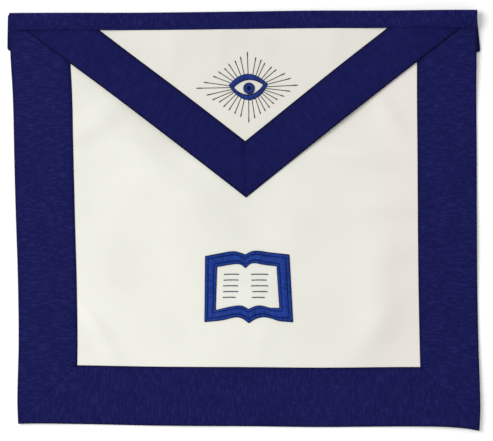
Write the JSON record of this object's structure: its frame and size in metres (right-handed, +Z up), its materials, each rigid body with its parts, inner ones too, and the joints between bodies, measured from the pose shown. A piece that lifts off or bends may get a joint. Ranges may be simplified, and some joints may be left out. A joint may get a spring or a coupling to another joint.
{
  "type": "masonic apron",
  "caption": "White leather apron with wide navy ribbon borders, a ribbon-trimmed triangular flap folded down the front, an embroidered eye and open book, and a belt behind the waist.",
  "frame": {"origin": "middle of the apron's footprint, on the surface that it lies on", "axes": "+X across the apron to the right as seen from the front, +Y from the hem to the waist, +Z up out of the face"},
  "size_m": [0.4106, 0.365, 0.0109],
  "materials": {
    "lambskin": "white lambskin, fine grain, soft satin",
    "navy_ribbon": "navy ribbed grosgrain ribbon, matt with a low sheen",
    "navy_webbing": "navy woven belt webbing, matt",
    "blue_thread": "royal blue satin-stitch embroidery thread, low sheen",
    "brass_plate": "plain satin brass"
  },
  "bodies": {
    "root": {"apron_panel": "lambskin", "border_left": "navy_ribbon", "border_right": "navy_ribbon", "border_bottom": "navy_ribbon", "flap": "lambskin", "flap_trim_left": "navy_ribbon", "flap_trim_right": "navy_ribbon", "waistband": "navy_ribbon", "belt_left": "navy_webbing", "belt_right": "navy_webbing", "belt_clasp": "brass_plate", "eye_ring": "blue_thread", "eye_iris": "blue_thread", "book_frame": "blue_thread"}
  },
  "joints": []
}
